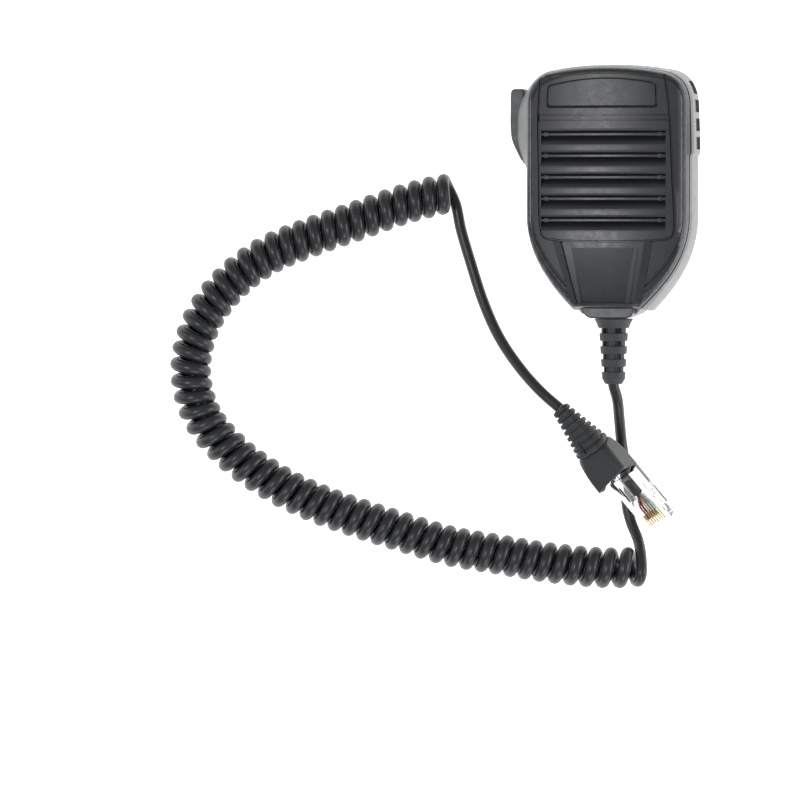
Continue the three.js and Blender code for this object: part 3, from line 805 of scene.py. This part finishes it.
def front_case():
    """The front half: its bevelled shell, panel, recess, louvres, lower plate and half of the neck."""
    profile = [
        (PARTING, -0.35), (0.8, -0.35), (0.95, 0), (2.5, -0.05), (4.9, -0.25), (5.1, -0.8), (5.5, -0.85),
        (5.75, -0.42), (7.0, -0.6), (7.8, -0.85), (8.35, -1.2), (8.7, -1.65), (8.86, -2.1), (8.86, -2.55),
        (8.3, -2.75), (8.3, -3.0), (FACE, -3.2), (FACE, -4.1),
    ]
    shell = loft([front_ring(z, grow) for z, grow in profile])
    neck = eased(prism(FRONT_NECK, PARTING, 4.4), 0.5, 3)
    shell = join(shell, neck)
    shell = cut(shell, loft([case_ring(z, -3.2) for z in (-1, FACE - 1.8)]))
    wedges = [
        wedge((-19.4, -19.3), (-12.6, -42.3), (-10.7, -42.3), (-16.4, -19.3), 0.85),
        wedge((17.9, -19.3), (13.8, -42.3), (11.2, -42.3), (15.3, -19.3), 0.85),
    ]
    shell = cut(shell, prism(CHANNEL, FACE - 0.45, FACE + 2))
    shell = join(shell, *wedges)
    sloping = [(x, y, FACE + 0.05 + PLATE_SLOPE * (y - INNER_PLATE[2][1])) for x, y in INNER_PLATE]
    shell = join(shell, loft([[(x, y, FACE - 1.7) for x, y in INNER_PLATE], sloping]))
    shell = cut(shell, loft([sloping, [(x, y, FACE + 2) for x, y in INNER_PLATE]]))
    shell = cut(shell, panel_groove(), badge_cutter())
    for y in CROSS_GROOVES:
        shell = cut(shell, straight_groove((-25, y), (24.5, y), 0.32, 1.7))
    shell = cut(shell, block(-24.9, 24.4, 25.5, 27.2, FACE - 0.22, FACE + 1))
    shell = cut(shell, block(-25.5, -24.3, 25.0, 27.7, FACE - 1.7, FACE + 1))
    shell = cut(shell, straight_groove((19.2, 38.5), (19.5, 30.4), 0.62, 1.7))
    shell = cut(shell, straight_groove((12.7, -21.5), (9.4, -42.3), 0.2, 0.8))
    for i in range(LOUVRES):
        shell = cut(shell, louvre_cutter(LOUVRE_FIRST - i * LOUVRE_PITCH))
    bars = []
    for i in range(LOUVRES):
        y = LOUVRE_FIRST - i * LOUVRE_PITCH - 1.12
        z = FACE - 0.62
        bar = block(LOUVRE_LEFT - 0.4, LOUVRE_RIGHT + 0.4, y - 0.6, y + 0.6, z - 0.5, z + 0.4)
        bars.append(eased(bar, 0.34, 3))
        for x in (LOUVRE_LEFT + 1.0, LOUVRE_RIGHT - 3.0):
            bars.append(eased(block(x, x + 2.0, y - 0.85, y + 0.85, z - 0.6, z + 0.62), 0.4, 2))
    sliced(shell, 0, [1.5 * k for k in range(-19, 20)])
    sliced(shell, 1, [8 - 1.6 * k for k in range(0, 34)])
    for bar in bars:
        sliced(bar, 0, [1.5 * k for k in range(-16, 17)])
    whole = moved(merged([shell, *bars]), crown)
    return placed(whole, "front_shell", HANDSET, FRONT, "handset", ["front_case"], 30)


GRIP_POCKETS = [(35.4, 40.0), (28.6, 33.0), (21.6, 26.0), (14.8, 19.2)]
POCKET_DEPTH = 0.9
POCKET_LEVELS = (-13.6, -5.4)
CASE_SCREWS = [(-24.3, 35.3), (24.3, 35.3), (-16.3, -33.6), (16.3, -33.6)]
STUD_Y = 11
BACK = -17


def side_at(y):
    """How far right the case reaches at height y."""
    outline = case_outline(0.72, 0, GRIP_SWELL)
    for (x0, y0), (x1, y1) in zip(outline, outline[1:]):
        if y0 <= y <= y1 and x0 > 0:
            return x0 + (x1 - x0) * (y - y0) / max(1e-6, y1 - y0)
    return HALF_WIDTH


def pocket(low, high):
    """A finger pocket in the right wall, cut along the line of the wall."""
    inner = [(side_at(low) - POCKET_DEPTH, low), (side_at(high) - POCKET_DEPTH, high)]
    outline = [inner[0], (inner[0][0] + 4, low - 0.6), (inner[1][0] + 4, high + 0.6), inner[1]]
    return loft([[(x, y, z) for x, y in outline] for z in POCKET_LEVELS])


def rear_case():
    """The rear half: rounded walls, pod, grip pockets, screw and label recesses, and the stud's boss."""
    levels = [
        (BACK, -2.9, 2.6), (-16.92, -2.2, 3.2), (-16.7, -1.5, 3.8), (-16.2, -0.8, 4.4), (-15.4, -0.1, 5.0),
        (-14.4, 0.45, 5.2), (-13, 0.75, 5.2), (-10, 0.75, 5.2), (-6.9, 0.65, 5.15), (-6.2, 0.62, 4.95),
        (-5.2, 0.55, 4.3), (-3.2, 0.4, 2.8), (-1.4, 0.25, 1.4), (-0.5, 0.1, 0.7), (-PARTING, -0.1, 0.5),
    ]
    shell = loft([case_ring(z, grow, pod, GRIP_SWELL) for z, grow, pod in levels])
    shell = join(shell, eased(prism(REAR_NECK, -15.6, -PARTING), 0.6, 3))
    shell = cut(shell, loft([case_ring(z, -2.6) for z in (-14.6, 1)]))
    bore = turned_shape([(4.5, -50), (4.5, -40)], about_y(0, CORD_AXIS_Z))
    slot = eased(block(-60, -30.2, 8.8, 37.9, -15.3, -6.5), 0.4, 2)
    shell = cut(shell, bore, slot, cross_rod(-34, -27, 28, -8.8, 2.0))
    shell = cut(shell, rod(0, STUD_Y, BACK - 1, -14, 2.8))
    for low, high in GRIP_POCKETS:
        shell = cut(shell, pocket(low, high))
    for x, y in CASE_SCREWS:
        shell = cut(shell, rod(x, y, BACK - 1, BACK + 1.8, 2.8))
    label_top = rounded([(-15, -29), (15, -29), (15, -6), (-15, -6)], 2)
    label_floor = rounded([(-14.6, -28.6), (14.6, -28.6), (14.6, -6.4), (-14.6, -6.4)], 1.8)
    label = loft([[(x, y, z) for x, y in outline] for z, outline in (
        (BACK - 1, label_top), (BACK, label_top), (BACK + 0.4, label_floor))])
    shell = cut(shell, label)
    boss = turned_shape([(9.5, BACK + 0.5), (9.5, BACK - 0.1), (9.1, BACK - 0.25), (8.7, BACK - 0.25),
                         (8.3, BACK - 0.05), (3.0, BACK - 0.05), (3.0, BACK + 0.5)], about_z(0, STUD_Y))
    piece = merged([shell, boss])
    placed(piece, "rear_shell", HANDSET, REAR, "handset", ["rear_case"], 30)
    # The grip pocket floors take the black front plastic as a second slot: painted shade in the finger
    # pockets.
    piece.data.materials.append(FRONT)
    for face in piece.data.polygons:
        middle = face.center / MM
        in_pocket = any(low < middle.y < high for low, high in GRIP_POCKETS)
        depth = side_at(middle.y) - middle.x
        between = POCKET_LEVELS[0] - 0.1 < middle.z < POCKET_LEVELS[1] + 0.1
        if in_pocket and between and 0.5 < depth < 1.3:
            face.material_index = 1
    return piece


# ---------------------------------------------------------------- push-to-talk bar

HINGE = (-32.6, 11.1)
LEVER_OUTER = -39.0
LEVER_INNER = -33.8
LEVER_TOP = 37.4


def ptt_bar():
    """A thick bar on a barrel hinge, with a rounded thumb face."""
    thumb = [
        (LEVER_OUTER + 0.9, LEVER_TOP), (LEVER_OUTER + 0.25, LEVER_TOP - 0.9), (LEVER_OUTER, 30),
        (LEVER_OUTER + 0.05, 22), (LEVER_OUTER + 0.6, 18.2), (LEVER_OUTER + 2.5, 13.9),
        (HINGE[0] - 2.1, 10.7), (HINGE[0], HINGE[1] - 1.7),
    ]
    outer = [(p.x, p.y) for p in catmull([(x, y, 0) for x, y in thumb], 1.2)]
    outline = [(LEVER_INNER, 16), (LEVER_INNER, LEVER_TOP), *outer, (HINGE[0] + 1.7, HINGE[1])]
    bar = eased(prism(outline, -15, -6.8), 0.7, 3, 40)
    barrel = eased(rod(HINGE[0], HINGE[1], -14.9, -6.9, 1.9), 0.3)
    bar = join(bar, barrel)
    bar = cut(bar, rod(HINGE[0], HINGE[1], -20, 0, 1.1))
    return placed(bar, "talk_bar", HANDSET, LEVER, "ptt_bar", ["ptt_lever"], 35)


# ---------------------------------------------------------------- strain relief

RELIEF_RINGS = 4
RELIEF_FIRST = -51.7
RELIEF_PITCH = 4.82
RELIEF_GAP = 1.9
RELIEF_END = -72.6
WINDOW_ANGLES = (57, 123, 237, 303)


def ring_radius(y):
    """The radius of a ring at height y; the rings shrink towards the cord."""
    return 5.35 + (y + 53.7) * 0.062


def strain_relief():
    """A tapered sleeve of rings, joined by pillars between its windows."""
    profile = [
        (2.4, -39.7), (5.4, -39.7), (5.4, -41.2), (4.2, -41.2), (4.2, -48.2), (7.0, -48.2), (7.2, -48.4),
        (6.9, -49.0), (6.3, -50.1), (5.85, RELIEF_FIRST + 0.3), (5.6, RELIEF_FIRST),
    ]
    for i in range(RELIEF_RINGS):
        top = RELIEF_FIRST - i * RELIEF_PITCH
        start = top - RELIEF_GAP
        end = top - RELIEF_PITCH if i < RELIEF_RINGS - 1 else -71.0
        neck = ring_radius(top) - 0.85
        profile += [(neck, top - 0.02), (neck, start + 0.02)]
        profile += [(ring_radius(start) - 0.25, start), (ring_radius(start), start - 0.25)]
        profile += [(ring_radius(end), end + 0.25), (ring_radius(end) - 0.25, end)]
    profile += [(3.6, -71.9), (3.0, RELIEF_END), (2.4, RELIEF_END)]
    sleeve = turned_shape(profile, about_y(0, CORD_AXIS_Z), 56)
    bore = turned_shape([(2.4, -80), (2.4, -39)], about_y(0, CORD_AXIS_Z), 32)
    sleeve = cut(sleeve, bore)
    for i in range(RELIEF_RINGS):
        top = RELIEF_FIRST - i * RELIEF_PITCH
        for around in WINDOW_ANGLES:
            window = block(2.95, 9, top - RELIEF_GAP + 0.05, top - 0.05, -1.3, 1.3)
            turn = Matrix.Translation((0, 0, CORD_AXIS_Z)) @ Matrix.Rotation(-radians(around), 4, "Y")
            window.data.transform(turn)
            sleeve = cut(sleeve, window)
    nodes = ["strain_relief"]
    return placed(sleeve, "relief_sleeve", HANDSET, RELIEF_RUBBER, "handset", nodes, 30)


# ---------------------------------------------------------------- plug

PLUG_HALF = 5.84
PLUG_LENGTH = 21.46
PLUG_HIGH = 3.25
CONTACT_PITCH = 1.016
BOOT_WIDTH = 15.0
BOOT_HEIGHT = 12.5
BOOT_MIDDLE = (1.2, 3)
BOOT_FRONT = 1.5
BOOT_BLOCK = 17.3
BOOT_CONE = 18.6
BOOT_RIBS = 8
BOOT_SAG = 0.0152
RIB_PROFILE = (
    (0.0, 0.11), (0.20, 0.12), (0.27, 0.04), (0.38, 0.003),
    (0.60, 0.0), (0.82, 0.008), (0.91, 0.035), (0.97, 0.10),
)


def soft_rectangle(half_width, half_height, radius, steps=6):
    """A rectangle with round corners, counter-clockwise."""
    radius = min(radius, half_width * 0.98, half_height * 0.98)
    outline = []
    for quarter, (a, b) in enumerate(((1, 1), (-1, 1), (-1, -1), (1, -1))):
        for k in range(steps + 1):
            angle = (quarter + k / steps) * pi / 2
            outline.append((a * (half_width - radius) + radius * cos(angle),
                            b * (half_height - radius) + radius * sin(angle)))
    return outline


def boot_ring(s, scale, radius):
    """A section of the boot s behind its front; past the block its line droops with the roll of the plug."""
    down = Vector((sin(PLUG_ROLL), 0, -cos(PLUG_ROLL)))
    past = max(0, s - BOOT_BLOCK)
    middle = Vector((BOOT_MIDDLE[0], -0.3 - s, BOOT_MIDDLE[1])) + down * (BOOT_SAG * past * past)
    ahead = (Vector((0, -1, 0)) + down * (2 * BOOT_SAG * past)).normalized()
    right = (Vector((1, 0, 0)) - ahead * ahead.x).normalized()
    up = ahead.cross(right)
    outline = soft_rectangle(scale * BOOT_WIDTH / 2, scale * BOOT_HEIGHT / 2, radius)
    return [middle + right * a + up * b for a, b in outline]


def plug_boot():
    """A square block that narrows to the back, then a cone of soft ribs with a slit in it."""
    sections = [
        (BOOT_FRONT, 0.965, 1.0), (BOOT_FRONT + 0.3, 0.99, 1.2), (BOOT_FRONT + 0.8, 1.0, 1.3), (5, 1.0, 1.4),
        (8, 0.995, 1.5), (11, 0.975, 1.8), (13.5, 0.95, 2.2), (15.5, 0.925, 2.8), (16.6, 0.90, 3.2),
        (BOOT_BLOCK - 0.2, 0.87, 3.6),
    ]
    rings = [boot_ring(*section) for section in sections]
    step = BOOT_CONE / BOOT_RIBS
    for i in range(BOOT_RIBS):
        start = BOOT_BLOCK + i * step
        size = 0.90 - 0.44 * i / (BOOT_RIBS - 1)
        for share, inset in RIB_PROFILE:
            rings.append(boot_ring(start + share * step, size - inset, (size - inset) * 5.0))
    body = loft(rings)
    pocket_rings = ((0, 0.87), (BOOT_FRONT + 0.6, 0.87), (6.5, 0.80))
    mouth = loft([boot_ring(s, scale, 0.8) for s, scale in pocket_rings])
    slit = block(1.9, 2.6, -24.6, -19, 6.9, 12)
    corners = ((-14, -8), (16, -8), (16, 16), (-14, 16))
    slope = [(x, -7.2 + 0.24 * (x + 6.3) + 0.45 * (9.25 - z), z) for x, z in corners]
    ahead = loft([slope, [(x, y + 40, z) for x, y, z in slope]])
    body = cut(body, mouth, slit, ahead)
    return placed(body, "plug_sleeve", PLUG, RUBBER, "handset", ["plug_boot"], 34)


def plug_body():
    """The clear body: a rounded block with a cord pocket, a wire channel and eight contact slots."""
    body = eased(block(-PLUG_HALF, PLUG_HALF, -2, PLUG_LENGTH, -PLUG_HIGH, PLUG_HIGH), 0.25, 2)
    body = cut(body, eased(block(-3.4, 3.4, -4, 9.4, -2.5, 2.5), 0.4, 2))
    body = cut(body, block(-4.2, 4.2, 9.2, 18.6, 0.2, 1.7))
    body = cut(body, block(-2.6, 2.6, 7.2, 9.8, -4, -1.4))
    for i in range(8):
        x = (i - 3.5) * CONTACT_PITCH
        body = cut(body, block(x - 0.33, x + 0.33, 15.3, PLUG_LENGTH + 1, 1.6, 4))
    return placed(body, "plug_shell", PLUG, CLEAR, "handset", ["plug_body"], 30)


def plug_wire(index):
    """A conductor that leaves the jacket in the bundle and fans out to its contact."""
    end_x = (index - 2.5) * CONTACT_PITCH
    start_x = end_x * 0.42
    lift = -0.55 if index % 2 else 0.25
    route = [(start_x, 7.5, lift), (start_x * 1.05, 8.7, lift * 0.9), (end_x * 0.75, 10.6, 0.75),
             (end_x, 12.6, 0.95), (end_x, 15, 0.95), (end_x, 18.1, 0.95)]
    path = catmull(route, 0.5)
    rings = []
    for i, p in enumerate(path):
        ahead = (path[min(i + 1, len(path) - 1)] - path[max(i - 1, 0)]).normalized()
        right = ahead.cross(Vector((0, 0, 1))).normalized()
        up = right.cross(ahead)
        rings.append([p + right * a + up * b for a, b in circle(0.40, 12)])
    replaced = f"wire_{index + 1}"
    slot_name = WIRE_COLORS[replaced][0]
    name = f"conductor_{index + 1}"
    return placed(loft(rings), name, PLUG, FINISH[slot_name], "handset", [replaced], 50)


front_case()
rear_case()
ptt_bar()
strain_relief()
boot = plug_boot()
shell = plug_body()
wires = [plug_wire(i) for i in range(6)]

# ---------------------------------------------------------------- assembly

cord, cord_length = add_cord()
